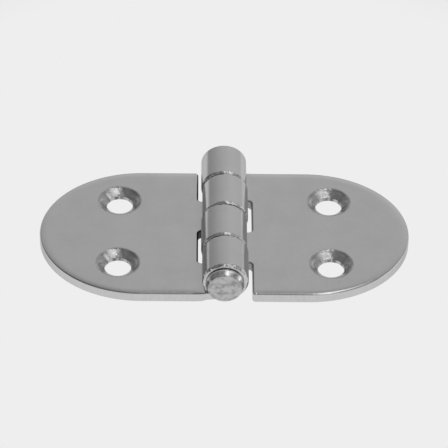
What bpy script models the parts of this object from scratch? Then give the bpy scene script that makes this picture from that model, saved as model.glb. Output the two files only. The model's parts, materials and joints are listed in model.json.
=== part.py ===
"""Round-ended strap hinge, lying open and flat: two rolled sheet-metal leaves on one headed pin.

The leaves lie on the XY plane, +X runs across the leaves and +Y runs along the pin, away from its
head. +Z rises out of the face that is screwed down. Y = 0 is the middle of the pin's full length.
"""

import math

import bmesh
import bpy
from mathutils import Matrix, Vector

MM = 0.001

# Leaves
OPEN_WIDTH = 76.0 * MM
LEAF_LENGTH = 38.0 * MM
SHEET = 2.1 * MM
END_ARC_START = 17.0 * MM
LEFT_NOTCH_EDGE = 5.4 * MM
RIGHT_NOTCH_EDGE = 5.65 * MM
NOTCH_FILLET = 0.8 * MM
CORNER_FILLET = 0.7 * MM

# Rolled knuckles
BORE_RADIUS = 2.6 * MM
KNUCKLE_RADIUS = BORE_RADIUS + SHEET
KNUCKLE_RISE = 0.45 * MM
KNUCKLE_LEAN = 0.12 * MM
RISE_START = 5.9 * MM
ROLL_END_ANGLE = math.radians(214.0)
KNUCKLE_GAP = 0.2 * MM
SEAMS_FROM_MIDDLE = (-9.45 * MM, 0.25 * MM, 9.9 * MM)

# Pin
PIN_RADIUS = 2.5 * MM
HEAD_RADIUS = 3.9 * MM
HEAD_THICKNESS = 1.6 * MM
HEAD_ROUNDING = 0.5 * MM
TAIL_RADIUS = 3.2 * MM
TAIL_THICKNESS = 0.6 * MM
END_GAP = 0.2 * MM

# Screw holes
HOLE_X = 21.75 * MM
HOLE_ROWS = (-9.55 * MM, 9.85 * MM)
HOLE_RADIUS = 2.75 * MM
COUNTERSINK_RADIUS = 4.4 * MM
COUNTERSINK_DEPTH = 1.25 * MM

# Places that follow from the sizes above
AXIS_HEIGHT = KNUCKLE_RISE + KNUCKLE_RADIUS
PIN_LENGTH = HEAD_THICKNESS + END_GAP + LEAF_LENGTH + END_GAP + TAIL_THICKNESS
HEAD_FACE = -PIN_LENGTH / 2
TAIL_FACE = PIN_LENGTH / 2
FRONT_EDGE = HEAD_FACE + HEAD_THICKNESS + END_GAP
BACK_EDGE = FRONT_EDGE + LEAF_LENGTH
LEAF_MIDDLE = (FRONT_EDGE + BACK_EDGE) / 2
SEAMS = tuple(LEAF_MIDDLE + seam for seam in SEAMS_FROM_MIDDLE)

ROLL_STEPS = 72
TURNED_STEPS = 72
END_ARC_STEPS = 72
FILLET_STEPS = 5
OVERSHOOT = 3.0 * MM
WELD = 0.01 * MM
SHARP_ANGLE = math.radians(30.0)

LEFT = -1
RIGHT = 1
STEEL_COLOUR = (0.56, 0.56, 0.56, 1.0)


def clear_scene():
    for item in list(bpy.data.objects):
        bpy.data.objects.remove(item, do_unlink=True)


def make_collection(name):
    collection = bpy.data.collections.new(name)
    bpy.context.scene.collection.children.link(collection)
    return collection


def steel(name, roughness):
    material = bpy.data.materials.new(name)
    material.use_nodes = True
    shader = material.node_tree.nodes["Principled BSDF"]
    shader.inputs["Base Color"].default_value = STEEL_COLOUR
    shader.inputs["Metallic"].default_value = 1.0
    shader.inputs["Roughness"].default_value = roughness
    material.diffuse_color = STEEL_COLOUR
    return material


def arc(centre, radius, start, end, steps):
    """Points on an arc, both ends included. The radius is a number or a pair for an ellipse."""
    across, along = radius if isinstance(radius, tuple) else (radius, radius)
    points = []
    for step in range(steps + 1):
        angle = start + (end - start) * step / steps
        points.append(Vector((centre[0] + across * math.cos(angle), centre[1] + along * math.sin(angle))))
    return points


def fillet(before, corner, after, radius):
    """Points that round the corner between two straight edges."""
    corner = Vector(corner)
    towards_before = (Vector(before) - corner).normalized()
    towards_after = (Vector(after) - corner).normalized()
    half_angle = towards_before.angle(towards_after) / 2
    centre = corner + (towards_before + towards_after).normalized() * radius / math.sin(half_angle)
    reach = radius / math.tan(half_angle)
    start = corner + towards_before * reach - centre
    sweep = start.angle_signed(corner + towards_after * reach - centre)
    return [
        centre + Matrix.Rotation(-sweep * step / FILLET_STEPS, 2) @ start
        for step in range(FILLET_STEPS + 1)
    ]


def rounded_outline(corners):
    """Turns (x, y, fillet radius) corners into outline points."""
    points = []
    count = len(corners)
    for index, (x, y, radius) in enumerate(corners):
        if radius == 0:
            points.append(Vector((x, y)))
            continue
        before = corners[index - 1][:2]
        after = corners[(index + 1) % count][:2]
        points.extend(fillet(before, (x, y), after, radius))
    return points


def solid_from_outline(name, outline, depth, placement, collection):
    """Extrudes a flat outline by depth, centred on its plane, and returns it as a mesh object."""
    curve = bpy.data.curves.new(name + "_outline", "CURVE")
    curve.dimensions = "2D"
    curve.fill_mode = "BOTH"
    curve.extrude = depth / 2
    spline = curve.splines.new("POLY")
    spline.points.add(len(outline) - 1)
    for point, place in zip(spline.points, outline):
        point.co = (place[0], place[1], 0.0, 1.0)
    spline.use_cyclic_u = True
    source = bpy.data.objects.new(name + "_outline", curve)
    collection.objects.link(source)
    depsgraph = bpy.context.evaluated_depsgraph_get()
    mesh = bpy.data.meshes.new_from_object(source.evaluated_get(depsgraph))
    mesh.name = name
    mesh.transform(placement)
    bpy.data.objects.remove(source)
    weld(mesh)
    result = bpy.data.objects.new(name, mesh)
    collection.objects.link(result)
    return result


def weld(mesh):
    shape = bmesh.new()
    shape.from_mesh(mesh)
    bmesh.ops.remove_doubles(shape, verts=shape.verts, dist=WELD)
    bmesh.ops.recalc_face_normals(shape, faces=shape.faces)
    shape.to_mesh(mesh)
    shape.free()


def turned(name, profile, placement, collection):
    """Turns a (radius, height) profile, listed from top to bottom, about its own Z axis."""
    mesh = bpy.data.meshes.new(name)
    shape = bmesh.new()
    verts = [shape.verts.new((radius, 0.0, height)) for radius, height in profile]
    for first, second in zip(verts, verts[1:]):
        shape.edges.new((first, second))
    shape.to_mesh(mesh)
    shape.free()
    result = bpy.data.objects.new(name, mesh)
    result.matrix_world = placement
    collection.objects.link(result)
    screw = result.modifiers.new("turn", "SCREW")
    screw.steps = TURNED_STEPS
    screw.render_steps = TURNED_STEPS
    screw.use_merge_vertices = True
    screw.merge_threshold = WELD
    return result


def boolean(target, operation, cutter):
    cut = target.modifiers.new(cutter.name, "BOOLEAN")
    cut.operation = operation
    cut.solver = "EXACT"
    cut.object = cutter


def sheet_profile(side):
    """The bent sheet seen along the pin, relative to the pin's axis.

    The sheet passes under the pin, curls up on the far side, over the top and back down until its
    end almost meets its own top face.
    """
    underside = -AXIS_HEIGHT
    top = underside + SHEET
    bottom_angle = math.radians(-90.0)
    lean = (KNUCKLE_LEAN, 0.0)
    outer = arc(lean, KNUCKLE_RADIUS, bottom_angle, ROLL_END_ANGLE, ROLL_STEPS)
    bore = arc((0.0, 0.0), BORE_RADIUS, ROLL_END_ANGLE, bottom_angle, ROLL_STEPS)
    outline = [Vector((-OPEN_WIDTH, underside)), Vector((-RISE_START, underside))]
    outline += outer
    outline += bore
    outline += [Vector((-RISE_START, top)), Vector((-OPEN_WIDTH, top))]
    return [Vector((-side * point.x, point.y)) for point in outline]


def leaf_outline(side):
    """The flat outline of a leaf with its knuckle strips, seen from above."""
    front_seam, middle_seam, back_seam = SEAMS
    inset = KNUCKLE_GAP / 2
    past_barrel = -(KNUCKLE_RADIUS + OVERSHOOT)
    if side == LEFT:
        inner = [
            (past_barrel, FRONT_EDGE, 0.0),
            (past_barrel, front_seam - inset, 0.0),
            (LEFT_NOTCH_EDGE, front_seam - inset, NOTCH_FILLET),
            (LEFT_NOTCH_EDGE, middle_seam + inset, NOTCH_FILLET),
            (past_barrel, middle_seam + inset, 0.0),
            (past_barrel, back_seam - inset, 0.0),
            (LEFT_NOTCH_EDGE, back_seam - inset, NOTCH_FILLET),
            (LEFT_NOTCH_EDGE, BACK_EDGE, CORNER_FILLET),
        ]
    else:
        inner = [
            (RIGHT_NOTCH_EDGE, FRONT_EDGE, CORNER_FILLET),
            (RIGHT_NOTCH_EDGE, front_seam + inset, NOTCH_FILLET),
            (past_barrel, front_seam + inset, 0.0),
            (past_barrel, middle_seam - inset, 0.0),
            (RIGHT_NOTCH_EDGE, middle_seam - inset, NOTCH_FILLET),
            (RIGHT_NOTCH_EDGE, back_seam + inset, NOTCH_FILLET),
            (past_barrel, back_seam + inset, 0.0),
            (past_barrel, BACK_EDGE, 0.0),
        ]
    end_size = (OPEN_WIDTH / 2 - END_ARC_START, LEAF_LENGTH / 2)
    end_centre = (END_ARC_START, LEAF_MIDDLE)
    rounded_end = arc(end_centre, end_size, math.pi / 2, -math.pi / 2, END_ARC_STEPS)
    corners = inner + [(point.x, point.y, 0.0) for point in rounded_end]
    return [Vector((side * point.x, point.y)) for point in rounded_outline(corners)]


def screw_hole_cutter(name, x, y, collection):
    underside = -AXIS_HEIGHT
    top = underside + SHEET
    cone_start = top - COUNTERSINK_DEPTH
    slope = (COUNTERSINK_RADIUS - HOLE_RADIUS) / COUNTERSINK_DEPTH
    profile = [
        (0.0, top + OVERSHOOT),
        (COUNTERSINK_RADIUS + OVERSHOOT * slope, top + OVERSHOOT),
        (HOLE_RADIUS, cone_start),
        (HOLE_RADIUS, underside - OVERSHOOT),
        (0.0, underside - OVERSHOOT),
    ]
    return turned(name, profile, Matrix.Translation((x, y, AXIS_HEIGHT)), collection)


def hinge_leaf(name, side, roughness, parts, cutters):
    """One sheet with its knuckles rolled from it, its origin on the pin's axis."""
    upright = Matrix.Rotation(math.radians(90.0), 4, "X")
    blank_depth = LEAF_LENGTH + 2 * OVERSHOOT
    blank_place = Matrix.Translation((0.0, LEAF_MIDDLE, 0.0)) @ upright
    leaf = solid_from_outline(name, sheet_profile(side), blank_depth, blank_place, parts)
    leaf.location.z = AXIS_HEIGHT
    blade = solid_from_outline(name + "_blade", leaf_outline(side), OPEN_WIDTH, Matrix(), cutters)
    blade.location.z = AXIS_HEIGHT
    boolean(leaf, "INTERSECT", blade)
    for label, row in zip(("front", "back"), HOLE_ROWS):
        cutter_name = name + "_hole_" + label
        hole = screw_hole_cutter(cutter_name, side * HOLE_X, LEAF_MIDDLE + row, cutters)
        boolean(leaf, "DIFFERENCE", hole)
    leaf.data.materials.append(steel(name + "_steel", roughness))
    return leaf


def hinge_pin(parts):
    """The pin: a round-edged head in front, the shank, and the end riveted over at the back."""
    head_back = HEAD_FACE + HEAD_THICKNESS
    tail_front = TAIL_FACE - TAIL_THICKNESS
    quarter = math.radians(90.0)
    rounding_centre = (HEAD_RADIUS - HEAD_ROUNDING, HEAD_FACE + HEAD_ROUNDING)
    head_edge = arc(rounding_centre, HEAD_ROUNDING, 0.0, -quarter, FILLET_STEPS)
    tail_dome = arc((PIN_RADIUS, tail_front), (TAIL_RADIUS - PIN_RADIUS, TAIL_THICKNESS), quarter, 0.0,
                    FILLET_STEPS)
    profile = [(0.0, TAIL_FACE)]
    profile += [tuple(point) for point in tail_dome]
    profile += [(PIN_RADIUS, tail_front), (PIN_RADIUS, head_back), (HEAD_RADIUS, head_back)]
    profile += [tuple(point) for point in head_edge]
    profile += [(0.0, HEAD_FACE)]
    along_y = Matrix.Translation((0.0, 0.0, AXIS_HEIGHT)) @ Matrix.Rotation(math.radians(-90.0), 4, "X")
    pin = turned("hinge_pin", profile, along_y, parts)
    pin.data.materials.append(steel("hinge_pin_steel", 0.3))
    return pin


def smooth_round_faces(item):
    """Applies the modifiers, then shades smooth except across sharp edges."""
    depsgraph = bpy.context.evaluated_depsgraph_get()
    mesh = bpy.data.meshes.new_from_object(item.evaluated_get(depsgraph))
    item.modifiers.clear()
    item.data = mesh
    mesh.shade_smooth()
    mesh.set_sharp_from_angle(angle=SHARP_ANGLE)


def main():
    clear_scene()
    parts = make_collection("strap_hinge")
    cutters = make_collection("cutters")
    hinge_leaf("left_leaf", LEFT, 0.25, parts, cutters)
    hinge_leaf("right_leaf", RIGHT, 0.25, parts, cutters)
    hinge_pin(parts)
    for item in parts.objects:
        smooth_round_faces(item)
    for cutter in cutters.objects:
        cutter.display_type = "WIRE"
        cutter.hide_render = True


main()
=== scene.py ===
"""Looks for the round-ended strap hinge: rolled and polished stainless sheet on a headed pin."""

import json
import math
import random

import bmesh
import bpy
from mathutils import Matrix, Vector, noise


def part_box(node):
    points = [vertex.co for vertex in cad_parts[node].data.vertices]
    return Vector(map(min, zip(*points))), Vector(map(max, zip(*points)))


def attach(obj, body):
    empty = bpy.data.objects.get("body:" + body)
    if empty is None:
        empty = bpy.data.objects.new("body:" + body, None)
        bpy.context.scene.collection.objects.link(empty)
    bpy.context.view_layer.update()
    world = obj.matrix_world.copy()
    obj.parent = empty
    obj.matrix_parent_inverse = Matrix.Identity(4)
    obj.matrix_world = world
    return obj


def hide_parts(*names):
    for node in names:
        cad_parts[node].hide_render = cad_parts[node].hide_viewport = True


MM = 0.001

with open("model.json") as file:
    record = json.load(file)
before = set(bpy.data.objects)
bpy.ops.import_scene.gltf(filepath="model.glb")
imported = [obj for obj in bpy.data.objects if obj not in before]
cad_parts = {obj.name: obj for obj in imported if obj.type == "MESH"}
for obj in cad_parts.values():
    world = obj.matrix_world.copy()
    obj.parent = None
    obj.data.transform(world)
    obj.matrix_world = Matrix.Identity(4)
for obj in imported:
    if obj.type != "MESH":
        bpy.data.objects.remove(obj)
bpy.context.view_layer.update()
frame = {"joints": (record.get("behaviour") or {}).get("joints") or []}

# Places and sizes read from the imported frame
AXIS = Vector(frame["joints"][0]["pos_m"])
LEAF_LOW, LEAF_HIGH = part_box("left_leaf")
PIN_LOW, PIN_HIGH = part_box("hinge_pin")
FRONT_EDGE = LEAF_LOW.y
BACK_EDGE = LEAF_HIGH.y
LEAF_MIDDLE = (FRONT_EDGE + BACK_EDGE) / 2
HALF_WIDTH = -LEAF_LOW.x
HEAD_FACE = PIN_LOW.y
TAIL_FACE = PIN_HIGH.y
HEAD_RADIUS = PIN_HIGH.x

# Leaf outline: where its rounded end starts, and how far its notches' edges are from the pin's axis
END_ARC_START = 17.0 * MM
NOTCH_EDGE = {"left": 5.4 * MM, "right": 5.65 * MM}
NOTCH_FILLET = 0.8 * MM
CORNER_FILLET = 0.7 * MM

# Seams between the knuckles, from front to back
SEAMS = [LEAF_MIDDLE + seam * MM for seam in (-9.45, 0.25, 9.9)]
KNUCKLE_GAP = 0.2 * MM

# Roundings of the sheet's edges
TOP_ROUNDING = 0.36 * MM
BOTTOM_ROUNDING = 0.12 * MM
NOTCH_ROUNDING = 0.42 * MM
KNUCKLE_ROUNDING = 0.55 * MM
FRONT_ROUNDING = 0.7 * MM
BORE_ROUNDING = 0.15 * MM

# Sheet and its roll. The outside of the roll is centred past the pin's axis by the lean
SHEET = 2.1 * MM
KNUCKLE_ROOT = 4.6 * MM
ROOT_LENGTH = 1.0 * MM
BORE_RADIUS = 2.6 * MM
KNUCKLE_RADIUS = BORE_RADIUS + SHEET
KNUCKLE_RISE = AXIS.z - KNUCKLE_RADIUS
KNUCKLE_LEAN = 0.12 * MM
RISE_START = 5.9 * MM
RISE_EASE = 0.1
ROLL_SWEEP = math.radians(304.0)
PITCH_RADIUS = (BORE_RADIUS + KNUCKLE_RADIUS) / 2
ROLL_LENGTH = ROLL_SWEEP * PITCH_RADIUS

# Screw holes: a cone under a rounded rim, then a straight land
HOLE_X = 21.75 * MM
HOLE_ROWS = [LEAF_MIDDLE + row * MM for row in (-9.55, 9.85)]
HOLE_RADIUS = 2.75 * MM
COUNTERSINK_RADIUS = 4.35 * MM
COUNTERSINK_DEPTH = 1.25 * MM
RIM_ROUNDING = 0.8 * MM
RIM_FIRST_SLOPE = math.radians(5.0)
LIP_ROUNDING = 0.15 * MM
EXIT_BREAK = 0.1 * MM

# Pin
PIN_RADIUS = 2.5 * MM
TAIL_RADIUS = 3.2 * MM
TAIL_THICKNESS = 0.6 * MM
HEAD_THICKNESS = 1.6 * MM
BACK_ROUNDING = 0.1 * MM
RIM_SOFTENING = 0.06 * MM
BEVEL_DEPTH = 1.0 * MM
BEVEL_TOP = 3.48 * MM
FACE_RADIUS = 3.34 * MM
FACE_ROUNDING = 0.22 * MM
FACE_ROUNDING_ANGLES = (0.4, 0.8, 1.2, math.pi / 2)

# Hammer marks on the pin's head, with their sizes and depths in millimetres
HAMMER_SEED = 11
HAMMER_MARKS = 16
MARK_SIZES = (0.25, 0.8)
MARK_DEPTHS = (0.02, 0.07)
MARK_REACH = 0.9 * HEAD_THICKNESS
RIPPLE_SIZE = 0.9 * MM
RIPPLE_HEIGHT = 0.02 * MM

# Mesh fineness
END_ARC_STEPS = 200
FILLET_STEPS = 10
ROUNDING_SEGMENTS = 5
TURNED_STEPS = 192
TAIL_STEPS = 20
BEVEL_RINGS = 8
HEAD_RINGS = 26
RISE_CUTS = 4
ROLL_CUTS = 110
PLATE_CUT = 2.0 * MM
SHARP_ANGLE = math.radians(40.0)
TURNED_WELD = 0.001 * MM
BLANK_WELD = 0.0005 * MM
CUT_TOLERANCE = 1e-8
OVERSHOOT = 2.0 * MM
RIM_OVERSHOOT = 0.1 * MM

SIDES = {"left": -1, "right": 1}

# Finishes of a leaf, in the order of its material slots
POLISHED_FACE, POLISHED_EDGE, SHADED_NOTCH_WALL, COUNTERSUNK, ROLLED_END = range(5)

# How flat a face of the blank lies, as the size of its normal's Z
FLAT = 0.999
NEARLY_FLAT = 0.97
STEEP = 0.2
UPRIGHT = 0.1

# Faces of the blank nearer the pin than this belong to the knuckles
KNUCKLE_REACH = 1.5 * MM


# ---------------------------------------------------------------- outline helpers

def arc(centre, radius, start, end, steps):
    """Points on an arc, both ends included. The radius is a number or a pair for an ellipse."""
    across, along = radius if isinstance(radius, tuple) else (radius, radius)
    points = []
    for step in range(steps + 1):
        angle = start + (end - start) * step / steps
        points.append(Vector((centre[0] + across * math.cos(angle), centre[1] + along * math.sin(angle))))
    return points


def fillet(before, corner, after, radius):
    """Points that round the corner between two straight edges."""
    corner = Vector(corner)
    towards_before = (Vector(before) - corner).normalized()
    towards_after = (Vector(after) - corner).normalized()
    half_angle = towards_before.angle(towards_after) / 2
    centre = corner + (towards_before + towards_after).normalized() * radius / math.sin(half_angle)
    reach = radius / math.tan(half_angle)
    start = corner + towards_before * reach - centre
    sweep = start.angle_signed(corner + towards_after * reach - centre)
    return [
        centre + Matrix.Rotation(-sweep * step / FILLET_STEPS, 2) @ start
        for step in range(FILLET_STEPS + 1)
    ]


def blank_outline(leaf):
    """The flat blank of a leaf, before its knuckles are rolled.

    Each item is a point (distance from the pin, then Y) with its top and bottom rounding.
    """
    front_seam, middle_seam, back_seam = SEAMS
    inset = KNUCKLE_GAP / 2
    edge = NOTCH_EDGE[leaf]
    tip = -ROLL_LENGTH
    root = KNUCKLE_ROOT - ROOT_LENGTH
    plate = (TOP_ROUNDING, BOTTOM_ROUNDING)
    notch = (NOTCH_ROUNDING, BOTTOM_ROUNDING)
    knuckle = (BORE_ROUNDING, KNUCKLE_ROUNDING)
    outermost = (BORE_ROUNDING, FRONT_ROUNDING)
    if leaf == "left":
        inner = [
            (KNUCKLE_ROOT, FRONT_EDGE, 0.0, plate),
            (root, FRONT_EDGE, 0.0, outermost),
            (tip, FRONT_EDGE, 0.0, outermost),
            (tip, front_seam - inset, 0.0, knuckle),
            (root, front_seam - inset, 0.0, knuckle),
            (edge, front_seam - inset, NOTCH_FILLET, notch),
            (edge, middle_seam + inset, NOTCH_FILLET, notch),
            (root, middle_seam + inset, 0.0, knuckle),
            (tip, middle_seam + inset, 0.0, knuckle),
            (tip, back_seam - inset, 0.0, knuckle),
            (root, back_seam - inset, 0.0, knuckle),
            (edge, back_seam - inset, NOTCH_FILLET, notch),
            (edge, BACK_EDGE, CORNER_FILLET, plate),
        ]
    else:
        inner = [
            (edge, FRONT_EDGE, CORNER_FILLET, plate),
            (edge, front_seam + inset, NOTCH_FILLET, notch),
            (root, front_seam + inset, 0.0, knuckle),
            (tip, front_seam + inset, 0.0, knuckle),
            (tip, middle_seam - inset, 0.0, knuckle),
            (root, middle_seam - inset, 0.0, knuckle),
            (edge, middle_seam - inset, NOTCH_FILLET, notch),
            (edge, back_seam + inset, NOTCH_FILLET, notch),
            (root, back_seam + inset, 0.0, knuckle),
            (tip, back_seam + inset, 0.0, knuckle),
            (tip, BACK_EDGE, 0.0, knuckle),
            (root, BACK_EDGE, 0.0, knuckle),
            (KNUCKLE_ROOT, BACK_EDGE, 0.0, plate),
        ]
    end_size = (HALF_WIDTH - END_ARC_START, (BACK_EDGE - FRONT_EDGE) / 2)
    rounded_end = arc((END_ARC_START, LEAF_MIDDLE), end_size, math.pi / 2, -math.pi / 2, END_ARC_STEPS)
    corners = inner + [(point.x, point.y, 0.0, plate) for point in rounded_end]
    outline = []
    for index, (x, y, radius, rounding) in enumerate(corners):
        if radius == 0:
            outline.append((Vector((x, y)), rounding))
            continue
        before = corners[index - 1][:2]
        after = corners[(index + 1) % len(corners)][:2]
        outline.extend((point, rounding) for point in fillet(before, (x, y), after, radius))
    return outline


# ---------------------------------------------------------------- mesh helpers

def new_object(name, mesh):
    item = bpy.data.objects.new(name, mesh)
    bpy.context.scene.collection.objects.link(item)
    return item


def applied(item):
    """Replaces an object's mesh with what its modifiers make of it."""
    depsgraph = bpy.context.evaluated_depsgraph_get()
    mesh = bpy.data.meshes.new_from_object(item.evaluated_get(depsgraph))
    item.modifiers.clear()
    item.data = mesh
    return item


def even_shading(item):
    """Smooth shading that keeps sharp edges and follows the larger faces."""
    item.data.shade_smooth()
    item.data.set_sharp_from_angle(angle=SHARP_ANGLE)
    weighted = item.modifiers.new("even_shading", "WEIGHTED_NORMAL")
    weighted.keep_sharp = True


def turned(name, profile):
    """Turns a (radius, height) profile, listed from top to bottom, about Z."""
    mesh = bpy.data.meshes.new(name)
    shape = bmesh.new()
    verts = [shape.verts.new((radius, 0.0, height)) for radius, height in profile]
    for first, second in zip(verts, verts[1:]):
        shape.edges.new((first, second))
    shape.to_mesh(mesh)
    shape.free()
    item = new_object(name, mesh)
    screw = item.modifiers.new("turn", "SCREW")
    screw.steps = TURNED_STEPS
    screw.render_steps = TURNED_STEPS
    screw.use_merge_vertices = True
    screw.merge_threshold = TURNED_WELD
    return applied(item)


# ---------------------------------------------------------------- leaves

def inward(before, point, after):
    """The way in from a corner of a clockwise outline, lengthened so that both edges move in by 1."""
    first = (point - before).normalized()
    second = (after - point).normalized()
    first = Vector((first.y, -first.x))
    second = Vector((second.y, -second.x))
    return (first + second) / (1 + first.dot(second))


def flat_blank(leaf):
    """The blank as a flat plate with rounded edges, its underside at height 0."""
    outline = blank_outline(leaf)
    points = [point for point, _ in outline]
    turn = sum(a.x * b.y - b.x * a.y for a, b in zip(points, points[1:] + points[:1]))
    if turn > 0:
        outline.reverse()
        points.reverse()
    ways = [inward(points[i - 1], points[i], points[(i + 1) % len(points)]) for i in range(len(points))]
    shape = bmesh.new()
    rings = []
    angles = [math.pi / 2 * step / ROUNDING_SEGMENTS for step in range(ROUNDING_SEGMENTS + 1)]
    for angle in angles:
        ring = []
        for (point, (_, bottom)), way in zip(outline, ways):
            place = point + way * bottom * (1 - math.sin(angle))
            ring.append(shape.verts.new((place.x, place.y, bottom * (1 - math.cos(angle)))))
        rings.append(ring)
    for angle in angles:
        ring = []
        for (point, (top, _)), way in zip(outline, ways):
            place = point + way * top * (1 - math.cos(angle))
            ring.append(shape.verts.new((place.x, place.y, SHEET - top * (1 - math.sin(angle)))))
        rings.append(ring)
    for lower, upper in zip(rings, rings[1:]):
        for i in range(len(points)):
            shape.faces.new((lower[i - 1], lower[i], upper[i], upper[i - 1]))
    shape.faces.new(rings[0])
    shape.faces.new(rings[-1])
    bmesh.ops.recalc_face_normals(shape, faces=shape.faces)
    mesh = bpy.data.meshes.new(leaf + "_blank")
    shape.to_mesh(mesh)
    shape.free()
    return new_object(leaf + "_blank", mesh)


def countersink_profile():
    """The hole's cutter as (radius, height): rounded rim, cone, short straight land, softened exit."""
    slope = math.atan2(COUNTERSINK_DEPTH, COUNTERSINK_RADIUS - HOLE_RADIUS)
    tangent = RIM_ROUNDING * math.tan(slope / 2)
    centre = (COUNTERSINK_RADIUS + tangent, SHEET - RIM_ROUNDING)
    level = math.pi / 2
    rim = arc(centre, RIM_ROUNDING, level + RIM_FIRST_SLOPE, level + slope, ROUNDING_SEGMENTS)
    outermost = rim[0].x + RIM_OVERSHOOT / math.tan(RIM_FIRST_SLOPE)
    lip_turn = math.pi / 2 - slope
    lip_tangent = LIP_ROUNDING * math.tan(lip_turn / 2)
    lip_centre = (HOLE_RADIUS + LIP_ROUNDING, SHEET - COUNTERSINK_DEPTH - lip_tangent)
    lip = arc(lip_centre, LIP_ROUNDING, math.pi - lip_turn, math.pi, ROUNDING_SEGMENTS)
    above = [
        (0.0, SHEET + OVERSHOOT),
        (outermost, SHEET + OVERSHOOT),
        (outermost, rim[0].y + RIM_OVERSHOOT),
    ]
    below = [
        (HOLE_RADIUS, EXIT_BREAK),
        (HOLE_RADIUS + EXIT_BREAK, 0.0),
        (HOLE_RADIUS + EXIT_BREAK + OVERSHOOT, -OVERSHOOT),
        (0.0, -OVERSHOOT),
    ]
    return above + [tuple(point) for point in rim + lip] + below


def cut_holes(blank):
    """Countersinks both screw holes in a blank."""
    for row in HOLE_ROWS:
        cutter = turned("countersink", countersink_profile())
        cutter.location = (HOLE_X, row, 0.0)
        cut = blank.modifiers.new("countersink", "BOOLEAN")
        cut.operation = "DIFFERENCE"
        cut.solver = "EXACT"
        cut.object = cutter
        applied(blank)
        bpy.data.objects.remove(cutter)


def slice_for_bending(shape):
    """Cuts the blank across wherever the bend needs a row of points."""
    eased = [RISE_EASE * step / RISE_CUTS for step in range(-RISE_CUTS, RISE_CUTS + 1)]
    cuts = [RISE_START * (1 + share) for share in eased]
    cuts += [-ROLL_LENGTH * step / ROLL_CUTS for step in range(ROLL_CUTS)]
    cuts += [RISE_START + PLATE_CUT * step for step in range(1, int(HALF_WIDTH / PLATE_CUT))]
    for cut in cuts:
        everything = shape.verts[:] + shape.edges[:] + shape.faces[:]
        bmesh.ops.bisect_plane(
            shape, geom=everything, plane_co=(cut, 0, 0), plane_no=(1, 0, 0), dist=CUT_TOLERANCE
        )


def bend(along, height):
    """Where a point of the flat blank lands on the bent sheet: distance from the pin, and height."""
    depth = 1 - height / SHEET
    if along > 0:
        share = 1 - along / RISE_START
        if share < -RISE_EASE:
            rise = 0.0
        elif share < RISE_EASE:
            rise = (share + RISE_EASE) ** 2 / (4 * RISE_EASE)
        else:
            rise = share
        return along - KNUCKLE_LEAN * depth * max(share, 0.0), height + KNUCKLE_RISE * rise
    angle = -along / PITCH_RADIUS
    radius = BORE_RADIUS + SHEET * depth
    return -KNUCKLE_LEAN * depth - radius * math.sin(angle), AXIS.z - radius * math.cos(angle)


def finish_of(face, leaf):
    """Which finish a face of the blank has."""
    middle = face.calc_center_median()
    upright = abs(face.normal.z)
    off_hole = min(Vector((middle.x - HOLE_X, middle.y - row)).length for row in HOLE_ROWS)
    if off_hole < COUNTERSINK_RADIUS + RIM_ROUNDING and upright < FLAT:
        return COUNTERSUNK
    knuckle = middle.x < KNUCKLE_REACH
    inner = middle.x < NOTCH_EDGE[leaf] + NOTCH_ROUNDING
    inside = FRONT_EDGE + CORNER_FILLET < middle.y < BACK_EDGE - CORNER_FILLET
    # Notch walls take the material of painted shade.
    if inner and inside and middle.x > KNUCKLE_REACH and upright < NEARLY_FLAT:
        return SHADED_NOTCH_WALL
    if knuckle and middle.z < KNUCKLE_ROUNDING and UPRIGHT < upright < FLAT:
        return ROLLED_END
    return POLISHED_FACE if upright > STEEP else POLISHED_EDGE


def build_leaf(name, side_name, materials):
    """One leaf: blanked, countersunk, sliced, then rolled round the pin."""
    side = SIDES[side_name]
    item = flat_blank(side_name)
    cut_holes(item)
    shape = bmesh.new()
    shape.from_mesh(item.data)
    bmesh.ops.remove_doubles(shape, verts=shape.verts, dist=BLANK_WELD)
    slice_for_bending(shape)
    shape.normal_update()
    for face in shape.faces:
        face.material_index = finish_of(face, side_name)
    flat_place = shape.verts.layers.float_vector.new("flat_place")
    hole_place = shape.verts.layers.float_vector.new("hole_place")
    for vert in shape.verts:
        row = min(HOLE_ROWS, key=lambda hole: abs(hole - vert.co.y))
        vert[flat_place] = vert.co / MM
        vert[hole_place] = (vert.co - Vector((HOLE_X, row, 0.0))) / MM
        distance, height = bend(vert.co.x, vert.co.z)
        vert.co = Vector((side * distance, vert.co.y, height))
    bmesh.ops.recalc_face_normals(shape, faces=shape.faces)
    shape.to_mesh(item.data)
    shape.free()
    item.name = name
    item.data.name = name
    for material in materials:
        item.data.materials.append(material)
    even_shading(item)
    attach(item, side_name)
    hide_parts(side_name + "_leaf")


# ---------------------------------------------------------------- pin

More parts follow.
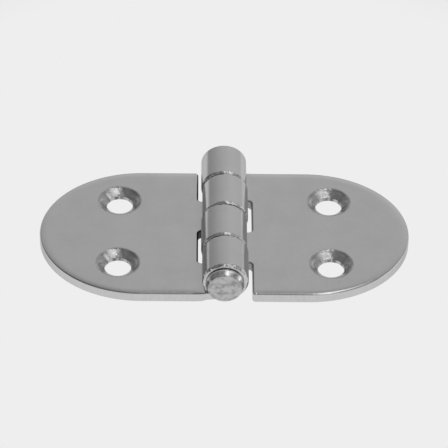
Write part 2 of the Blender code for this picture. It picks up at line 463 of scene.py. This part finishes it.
def pin_profile():
    """The pin's outline from its domed tail to the middle of its head, as (radius, y)."""
    head_back = HEAD_FACE + HEAD_THICKNESS
    bevel_back = HEAD_FACE + BEVEL_DEPTH
    tail_front = TAIL_FACE - TAIL_THICKNESS
    tail = arc((0.0, tail_front), (TAIL_RADIUS, TAIL_THICKNESS), math.pi / 2, 0.0, TAIL_STEPS)
    profile = [(0.0, TAIL_FACE)] + [tuple(point) for point in tail[1:]]
    profile += [
        (PIN_RADIUS, tail_front),
        (PIN_RADIUS, head_back),
        (HEAD_RADIUS - BACK_ROUNDING, head_back),
        (HEAD_RADIUS, head_back - BACK_ROUNDING),
        (HEAD_RADIUS, bevel_back + 2 * RIM_SOFTENING),
        (HEAD_RADIUS - RIM_SOFTENING, bevel_back),
    ]
    bevel_foot = Vector((HEAD_RADIUS - 2 * RIM_SOFTENING, bevel_back - RIM_SOFTENING))
    bevel_top = Vector((BEVEL_TOP, HEAD_FACE + FACE_ROUNDING))
    profile += [tuple(bevel_foot.lerp(bevel_top, ring / BEVEL_RINGS)) for ring in range(BEVEL_RINGS + 1)]
    for angle in FACE_ROUNDING_ANGLES:
        radius = FACE_RADIUS + (BEVEL_TOP - FACE_RADIUS) * math.cos(angle)
        profile.append((radius, HEAD_FACE + FACE_ROUNDING * (1 - math.sin(angle))))
    profile += [(FACE_RADIUS * (1 - ring / HEAD_RINGS), HEAD_FACE) for ring in range(1, HEAD_RINGS + 1)]
    return profile


def hammer_marks():
    """Dents in the head: centre, size and depth of each, the same every time."""
    draw = random.Random(HAMMER_SEED)
    marks = []
    for _ in range(HAMMER_MARKS):
        distance = HEAD_RADIUS * math.sqrt(draw.random())
        angle = draw.uniform(0.0, 2 * math.pi)
        centre = Vector((distance * math.cos(angle), distance * math.sin(angle)))
        marks.append((centre, draw.uniform(*MARK_SIZES) * MM, draw.uniform(*MARK_DEPTHS) * MM))
    return marks


def hammer(mesh):
    """Dents the head's face, and its bevel less and less towards the back."""
    marks = hammer_marks()
    for vert in mesh.vertices:
        behind_face = vert.co.y - HEAD_FACE
        if behind_face > MARK_REACH:
            continue
        place = Vector((vert.co.x, vert.co.z - AXIS.z))
        depth = sum(deep * math.exp(-((place - centre).length / size) ** 2) for centre, size, deep in marks)
        ripple = noise.noise(Vector((place.x, place.y, 0.0)) / RIPPLE_SIZE) * RIPPLE_HEIGHT
        vert.co.y += max(depth + ripple, 0.0) * (1 - behind_face / MARK_REACH)


def build_pin(material):
    """The pin: turned about the joint's axis, with its head hammered."""
    item = turned("hinge_pin_visual", pin_profile())
    onto_axis = Matrix.Translation((AXIS.x, 0.0, AXIS.z)) @ Matrix.Rotation(-math.pi / 2, 4, "X")
    item.data.transform(onto_axis)
    hammer(item.data)
    item.data.materials.append(material)
    even_shading(item)
    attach(item, "left")
    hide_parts("hinge_pin")


# ---------------------------------------------------------------- materials

# Noise patterns: scale along the blank's X, Y and Z per millimetre, detail, roughness
CLOUD = ((0.16, 0.16, 0.16), 3.0, 0.5)
HAZE = ((1.1, 1.1, 1.1), 4.0, 0.6)
STROKES = ((0.5, 9.0, 1.0), 3.0, 0.6)
CROSS_STROKES = ((11.0, 0.35, 1.0), 2.0, 0.6)
STREAKS = ((3.0, 3.0, 0.6), 4.0, 0.6)
BURRS = ((1.1, 1.4, 1.4), 2.0, 0.5)
TEARS = ((7.0, 7.0, 1.2), 4.0, 0.7)
MOTTLE = ((0.9, 0.9, 0.9), 4.0, 0.6)

# The same in a screw hole, where X and Y are the way round it and Z is the distance from its middle
CHATTER = ((1.5, 1.5, 0.5), 1.0, 0.4)
SPECKS = ((3.4, 3.4, 1.3), 1.0, 0.4)
RINGS = ((0.6, 0.6, 9.0), 2.0, 0.5)

# Stretches that noise values are read over, and the larger share where two noises are mixed
NOISE_SPAN = (0.3, 0.7)
MIDDLE_SPAN = (0.35, 0.65)
STEP_SPAN = (0.4, 0.6)
SUM_SPAN = (0.7, 1.3)
MOTTLE_SPAN = (0.36, 0.58)
MAIN_SHARE = 0.6

# Greys and roughnesses of each finish, at the two ends of its noise
SHEET_GREYS, SHEET_ROUGHNESS = (0.56, 0.62), (0.15, 0.24)
EDGE_GREYS, EDGE_ROUGHNESS = (0.57, 0.63), (0.16, 0.24)
# The knuckle ends' upper grey is a little brighter than the edges', a painted highlight.
END_HIGHLIGHT_GREYS, END_ROUGHNESS = (0.57, 0.66), (0.24, 0.36)
# The notch walls' greys are painted shade, much darker on the left leaf than on the right.
WALL_SHADE_GREYS, WALL_ROUGHNESS = {"left": (0.03, 0.1), "right": (0.25, 0.5)}, (0.35, 0.6)
CONE_GREYS, CONE_ROUGHNESS = (0.56, 0.7), (0.36, 0.24)
PIN_GREYS, PIN_ROUGHNESS = (0.31, 0.53), (0.22, 0.36)
GRAZING_TINT = 0.7

# Heights of each finish's relief
CLOUD_RELIEF = 0.012 * MM
STROKE_RELIEF = 0.0009 * MM
STREAK_RELIEF = 0.004 * MM
BURR_RELIEF = 0.3 * MM
TEAR_RELIEF = 0.04 * MM
RING_RELIEF = 0.012 * MM
CHATTER_RELIEF = 0.3 * MM
SPECK_RELIEF = 0.15 * MM
MOTTLE_RELIEF = 0.05 * MM

# Polishing rolls each leaf's outer edge off, but not near the knuckles. All in millimetres
ROLL_OFF_WIDTH = 1.9
ROLL_OFF_DROP = 0.24
ROLL_OFF_POWER = 3.0
PLATE_START = (4.0, 6.5)

# The underside is duller: below a height, and away from the pin, in millimetres
UNDERSIDE_HEIGHT = 0.2
UNDERSIDE_START = (3.0, 7.0)
UNDERSIDE_DULLING = 0.18

# Painted shade: in a screw hole the land and, a little, the rim are darkened below the cone's grey. Heights
# in millimetres
LAND_TOP = (SHEET - COUNTERSINK_DEPTH) / MM
LAND_FADE = (LAND_TOP - 0.1, LAND_TOP + 0.1)
LAND_SHADES = (0.7, 0.25)
RIM_FADE = (SHEET / MM - 0.35, SHEET / MM - 0.15)
RIM_SHADE = 0.25

# Painted highlight: the pin's bevel is made brighter than its face
BEVEL_FADE = (HEAD_FACE + 0.1 * MM, HEAD_FACE + 0.3 * MM)
PAINTED_BEVEL_HIGHLIGHT = 1.6


def add(tree, kind, inputs=(), **settings):
    """Adds a node. Each input is (socket, what feeds it): another node's socket or a constant."""
    node = tree.nodes.new(kind)
    for name, value in settings.items():
        setattr(node, name, value)
    for socket, value in inputs:
        if isinstance(value, bpy.types.NodeSocket):
            tree.links.new(value, node.inputs[socket])
        else:
            node.inputs[socket].default_value = value
    return node


def steel(name):
    """A metal material and its node tree."""
    material = bpy.data.materials.new(name)
    material.use_nodes = True
    tree = material.node_tree
    shader = tree.nodes["Principled BSDF"]
    shader.inputs["Metallic"].default_value = 1.0
    shader.inputs["Specular Tint"].default_value = (GRAZING_TINT, GRAZING_TINT, GRAZING_TINT, 1.0)
    return material, tree


def surface(tree, tone, roughness, normal):
    """Feeds a metal's shader."""
    shader = tree.nodes["Principled BSDF"]
    for socket, value in (("Base Color", tone), ("Roughness", roughness), ("Normal", normal)):
        tree.links.new(value, shader.inputs[socket])


def scaled(tree, vector, scale):
    return add(tree, "ShaderNodeVectorMath", [(0, vector), (1, scale)], operation="MULTIPLY").outputs[0]


def separated(tree, vector):
    return add(tree, "ShaderNodeSeparateXYZ", [(0, vector)]).outputs


def grain(tree, place, pattern):
    """One of the noise patterns."""
    scales, detail, rough = pattern
    inputs = [("Vector", scaled(tree, place, scales)), ("Scale", 1.0), ("Detail", detail)]
    return add(tree, "ShaderNodeTexNoise", inputs + [("Roughness", rough)]).outputs["Fac"]


def spread(tree, value, low, high, to_low, to_high):
    """Maps a value from one range to another, held at both ends."""
    inputs = [("Value", value), ("From Min", low), ("From Max", high)]
    inputs += [("To Min", to_low), ("To Max", to_high)]
    return add(tree, "ShaderNodeMapRange", inputs).outputs["Result"]


def calc(tree, operation, first, second=None):
    inputs = [(0, first)] if second is None else [(0, first), (1, second)]
    return add(tree, "ShaderNodeMath", inputs, operation=operation).outputs[0]


def blend(tree, main, other):
    """Two values mixed, with more of the first."""
    main_part = calc(tree, "MULTIPLY", main, MAIN_SHARE)
    return calc(tree, "ADD", main_part, calc(tree, "MULTIPLY", other, 1 - MAIN_SHARE))


def grey(tree, value, levels, span=NOISE_SPAN):
    """A grey between two levels, as a noise goes through its span."""
    ramp = add(tree, "ShaderNodeValToRGB", [("Fac", spread(tree, value, *span, 0.0, 1.0))])
    for element, level in zip(ramp.color_ramp.elements, levels):
        element.color = (level, level, level, 1.0)
    return ramp.outputs["Color"]


def bump(tree, height, distance, below=None):
    """A relief, on top of another one where below is its normal."""
    inputs = [("Height", height), ("Distance", distance), ("Strength", 1.0)]
    if below is not None:
        inputs.append(("Normal", below))
    return add(tree, "ShaderNodeBump", inputs).outputs["Normal"]


def attribute(tree, name):
    return add(tree, "ShaderNodeAttribute", attribute_name=name).outputs["Vector"]


def edge_distance(tree, along):
    """About how many millimetres a point of the blank is in from the leaf's rounded outline."""
    half_length = (BACK_EDGE - FRONT_EDGE) / 2 / MM
    past_start = calc(tree, "MAXIMUM", calc(tree, "SUBTRACT", along["X"], END_ARC_START / MM), 0.0)
    off_middle = calc(tree, "SUBTRACT", along["Y"], LEAF_MIDDLE / MM)
    x_share = calc(tree, "DIVIDE", past_start, (HALF_WIDTH - END_ARC_START) / MM)
    y_share = calc(tree, "DIVIDE", off_middle, half_length)
    x_square = calc(tree, "MULTIPLY", x_share, x_share)
    y_square = calc(tree, "MULTIPLY", y_share, y_share)
    reach = calc(tree, "SQRT", calc(tree, "ADD", x_square, y_square))
    return calc(tree, "MULTIPLY", calc(tree, "SUBTRACT", 1.0, reach), half_length)


def polished_sheet():
    """The leaves' faces: faint clouds and polishing strokes, a rolled-off edge and a dull underside."""
    material, tree = steel("polished_sheet")
    place = attribute(tree, "flat_place")
    along = separated(tree, place)
    cloud = grain(tree, place, CLOUD)
    haze = grain(tree, place, HAZE)
    strokes = grain(tree, place, STROKES)
    cross_strokes = grain(tree, place, CROSS_STROKES)
    tone = grey(tree, blend(tree, cloud, haze), SHEET_GREYS)
    underside = spread(tree, along["Z"], UNDERSIDE_HEIGHT, 0.0, 0.0, 1.0)
    underside = calc(tree, "MULTIPLY", underside, spread(tree, along["X"], *UNDERSIDE_START, 0.0, 1.0))
    polish = spread(tree, calc(tree, "ADD", haze, strokes), *SUM_SPAN, *SHEET_ROUGHNESS)
    roughness = calc(tree, "ADD", polish, calc(tree, "MULTIPLY", underside, UNDERSIDE_DULLING))
    on_plate = spread(tree, along["X"], *PLATE_START, 0.0, 1.0)
    rolled_off = spread(tree, edge_distance(tree, along), 0.0, ROLL_OFF_WIDTH, 1.0, 0.0)
    rolled_off = calc(tree, "MULTIPLY", calc(tree, "POWER", rolled_off, ROLL_OFF_POWER), -ROLL_OFF_DROP)
    relief = bump(tree, calc(tree, "MULTIPLY", rolled_off, on_plate), MM)
    relief = bump(tree, cloud, CLOUD_RELIEF, relief)
    relief = bump(tree, calc(tree, "ADD", strokes, cross_strokes), STROKE_RELIEF, relief)
    surface(tree, tone, roughness, relief)
    return material


def one_noise_finish(name, pattern, greys, roughness_span, roughness, relief):
    """A finish of the sheet that one noise makes on its own."""
    material, tree = steel(name)
    marks = grain(tree, attribute(tree, "flat_place"), pattern)
    rough = spread(tree, marks, *roughness_span, *roughness)
    surface(tree, grey(tree, marks, greys), rough, bump(tree, marks, relief))
    return material


def polished_edge():
    """The leaves' rims, with faint upright streaks."""
    return one_noise_finish("polished_edge", STREAKS, EDGE_GREYS, NOISE_SPAN, EDGE_ROUGHNESS, STREAK_RELIEF)


def rolled_end():
    """The rounded ends of the knuckles, left with small burrs and flats; their grey, varying with the
    burrs, is lifted a little as a painted highlight.
    """
    return one_noise_finish("rolled_end", BURRS, END_HIGHLIGHT_GREYS, MIDDLE_SPAN, END_ROUGHNESS, BURR_RELIEF)


def painted_shade_wall(leaf):
    """The notches' walls, torn by the cutting and left rough; their dark grey is painted shade, much darker
    on the left leaf than on the right.
    """
    name = "painted_shade_wall_" + leaf
    return one_noise_finish(name, TEARS, WALL_SHADE_GREYS[leaf], NOISE_SPAN, WALL_ROUGHNESS, TEAR_RELIEF)


def countersunk():
    """Drill-turned cone: chatter runs round the hole, broken up by torn specks; the land and rim carry
    painted shade.
    """
    material, tree = steel("countersunk")
    place = attribute(tree, "hole_place")
    level = scaled(tree, place, (1.0, 1.0, 0.0))
    reach = add(tree, "ShaderNodeVectorMath", [(0, level)], operation="LENGTH").outputs["Value"]
    around = add(tree, "ShaderNodeVectorMath", [(0, level)], operation="NORMALIZE").outputs[0]
    turn = separated(tree, around)
    polar = add(tree, "ShaderNodeCombineXYZ", [("X", turn["X"]), ("Y", turn["Y"]), ("Z", reach)]).outputs[0]
    chatter = grain(tree, polar, CHATTER)
    specks = grain(tree, polar, SPECKS)
    rings = grain(tree, polar, RINGS)
    height = separated(tree, place)["Z"]
    # Painted shade: the land darkened, speckled, and the rim a little.
    land = spread(tree, height, *LAND_FADE, 1.0, 0.0)
    land = calc(tree, "MULTIPLY", land, spread(tree, specks, *STEP_SPAN, *LAND_SHADES))
    rim = spread(tree, height, *RIM_FADE, 0.0, RIM_SHADE)
    kept = calc(tree, "SUBTRACT", 1.0, calc(tree, "ADD", land, rim))
    tone = scaled(tree, grey(tree, blend(tree, specks, chatter), CONE_GREYS, MIDDLE_SPAN), kept)
    roughness = spread(tree, specks, *MIDDLE_SPAN, *CONE_ROUGHNESS)
    relief = bump(tree, rings, RING_RELIEF)
    relief = bump(tree, chatter, CHATTER_RELIEF, relief)
    relief = bump(tree, specks, SPECK_RELIEF, relief)
    surface(tree, tone, roughness, relief)
    return material


def hammered_pin():
    """The pin: mottled grey on its face, brightened from its bevel back by a painted highlight."""
    material, tree = steel("hammered_pin")
    place = add(tree, "ShaderNodeTexCoord").outputs["Object"]
    mottle = grain(tree, scaled(tree, place, (1 / MM, 1 / MM, 1 / MM)), MOTTLE)
    # Painted highlight: the tone brightens from just behind the face to the back.
    bevel_highlight_factor = spread(tree, separated(tree, place)["Y"], *BEVEL_FADE, 1.0, PAINTED_BEVEL_HIGHLIGHT)
    tone = scaled(tree, grey(tree, mottle, PIN_GREYS, MOTTLE_SPAN), bevel_highlight_factor)
    roughness = spread(tree, mottle, *NOISE_SPAN, *PIN_ROUGHNESS)
    surface(tree, tone, roughness, bump(tree, mottle, MOTTLE_RELIEF))
    return material


# ---------------------------------------------------------------- studio

# Floor: its glow falls off between two distances from the hinge, in metres
FLOOR_HALF_SIZE = 3.0
FLOOR_GAP = 0.1 * MM
FLOOR_FADE = (0.088, 0.16)
FLOOR_LEVEL = 0.855
FAR_FLOOR_LEVEL = 0.64

# Room: its brightness by a direction's Y, then a factor by a direction's X
ROOM_BY_DEPTH = [
    (-1.0, 0.25),
    (-0.3, 0.22),
    (0.1, 0.26),
    (0.5, 0.42),
    (0.73, 0.567),
    (0.79, 0.612),
    (0.92, 0.7),
]
ROOM_BY_SIDE = [
    (-0.9, 0.5),
    (-0.66, 0.64),
    (-0.5, 0.76),
    (-0.3, 0.89),
    (0.0, 1.0),
    (0.35, 1.1),
    (0.9, 1.1),
]

# Bright cards: level, direction, half width, half height, softness. A later card covers an earlier one
FRONT_GLOW = (0.88, (0.44, -0.43, 0.79), 0.42, 0.32, 0.2)
SIDE_STRIP = (2.0, (0.98, 0.03, 0.06), 0.32, 0.1, 0.05)
SOFTBOX = (2.5, (0.2, 0.0, 0.98), 0.4, 0.09, 0.035)
FRONT_STRIP = (2.0, (0.28, -0.83, 0.48), 0.12, 0.2, 0.05)
CARDS = (FRONT_GLOW, SIDE_STRIP, SOFTBOX, FRONT_STRIP)
LEAST_AHEAD = 0.02

# Camera: its lens and sensor are in millimetres, its near limit in metres
CAMERA_PLACE = Vector((-7.69, -501.59, 438.76)) * MM
CAMERA_PITCH = math.radians(40.863)
CAMERA_YAW = math.radians(0.865)
CAMERA_ROLL = math.radians(1.014)
CAMERA_LENS = 259.56
CAMERA_SENSOR = 36.0
CAMERA_NEAR = 0.01


def floor():
    """Pale paper that glows, brightest round the hinge in a painted pool of light and falling off to the
    room's level.
    """
    mesh = bpy.data.meshes.new("floor")
    shape = bmesh.new()
    bmesh.ops.create_grid(shape, x_segments=1, y_segments=1, size=FLOOR_HALF_SIZE)
    shape.to_mesh(mesh)
    shape.free()
    item = new_object("floor", mesh)
    item.location.z = -FLOOR_GAP
    material = bpy.data.materials.new("pale_floor")
    material.use_nodes = True
    tree = material.node_tree
    tree.nodes.clear()
    place = add(tree, "ShaderNodeNewGeometry").outputs["Position"]
    reach = add(tree, "ShaderNodeVectorMath", [(0, place)], operation="LENGTH").outputs["Value"]
    level = spread(tree, reach, *FLOOR_FADE, FLOOR_LEVEL, FAR_FLOOR_LEVEL)
    glow = add(tree, "ShaderNodeEmission", [("Color", level)])
    add(tree, "ShaderNodeOutputMaterial", [("Surface", glow.outputs["Emission"])])
    mesh.materials.append(material)


def level_curve(tree, value, levels):
    """A smooth curve through (position, level) pairs, for a value from -1 to 1."""
    ramp = add(tree, "ShaderNodeValToRGB", [("Fac", spread(tree, value, -1.0, 1.0, 0.0, 1.0))])
    points = ramp.color_ramp.elements
    for _ in range(len(levels) - len(points)):
        points.new(0.5)
    for point, (position, level) in zip(points, levels):
        point.position = (position + 1) / 2
    for point, (position, level) in zip(points, levels):
        point.color = (level, level, level, 1.0)
    ramp.color_ramp.interpolation = "EASE"
    return ramp.outputs["Color"]


def card(tree, direction, facing, half_width, half_height, softness):
    """1 inside a rectangular card seen in the facing direction, fading to 0 at its edges."""
    facing = Vector(facing).normalized()
    across = facing.cross(Vector((0.0, 0.0, 1.0))).normalized()
    along = across.cross(facing)

    def toward(axis):
        inputs = [(0, direction), (1, axis)]
        return add(tree, "ShaderNodeVectorMath", inputs, operation="DOT_PRODUCT").outputs["Value"]

    ahead = calc(tree, "MAXIMUM", toward(facing), LEAST_AHEAD)
    mask = calc(tree, "GREATER_THAN", toward(facing), LEAST_AHEAD)
    for axis, half_size in ((across, half_width), (along, half_height)):
        offset = calc(tree, "ABSOLUTE", calc(tree, "DIVIDE", toward(axis), ahead))
        inputs = [
            ("Value", offset),
            ("From Min", half_size - softness),
            ("From Max", half_size + softness),
            ("To Min", 1.0),
            ("To Max", 0.0),
        ]
        fade = add(tree, "ShaderNodeMapRange", inputs, interpolation_type="SMOOTHSTEP")
        mask = calc(tree, "MULTIPLY", mask, fade.outputs["Result"])
    return mask


def studio():
    """A soft room: pale at the back, dim overhead and in front, darker to the left, with cards."""
    world = bpy.data.worlds.new("studio")
    bpy.context.scene.world = world
    world.use_nodes = True
    tree = world.node_tree
    tree.nodes.clear()
    direction = add(tree, "ShaderNodeTexCoord").outputs["Generated"]
    parts = separated(tree, direction)
    depth = level_curve(tree, parts["Y"], ROOM_BY_DEPTH)
    side = level_curve(tree, parts["X"], ROOM_BY_SIDE)
    room = calc(tree, "MULTIPLY", depth, side)
    for level, *size_and_place in CARDS:
        mask = card(tree, direction, *size_and_place)
        inputs = [("Factor", mask), ("A", room), ("B", level)]
        room = add(tree, "ShaderNodeMix", inputs, data_type="FLOAT").outputs["Result"]
    background = add(tree, "ShaderNodeBackground", [("Color", room)])
    add(tree, "ShaderNodeOutputWorld", [("Surface", background.outputs["Background"])])


def camera():
    """A long lens, from in front and above."""
    data = bpy.data.cameras.new("camera")
    data.lens = CAMERA_LENS
    data.sensor_width = CAMERA_SENSOR
    data.clip_start = CAMERA_NEAR
    item = new_object("camera", data)
    heading = Matrix.Rotation(-CAMERA_YAW, 4, "Z")
    tilt = Matrix.Rotation(math.pi / 2 - CAMERA_PITCH, 4, "X")
    roll = Matrix.Rotation(CAMERA_ROLL, 4, "Z")
    item.matrix_world = Matrix.Translation(CAMERA_PLACE) @ heading @ tilt @ roll
    bpy.context.scene.camera = item
    bpy.context.scene.view_settings.view_transform = "Standard"


def main():
    face = polished_sheet()
    edge = polished_edge()
    cone = countersunk()
    end = rolled_end()
    for side_name in SIDES:
        build_leaf(side_name + "_leaf_visual", side_name, [face, edge, painted_shade_wall(side_name), cone, end])
    build_pin(hammered_pin())
    floor()
    studio()
    camera()


main()
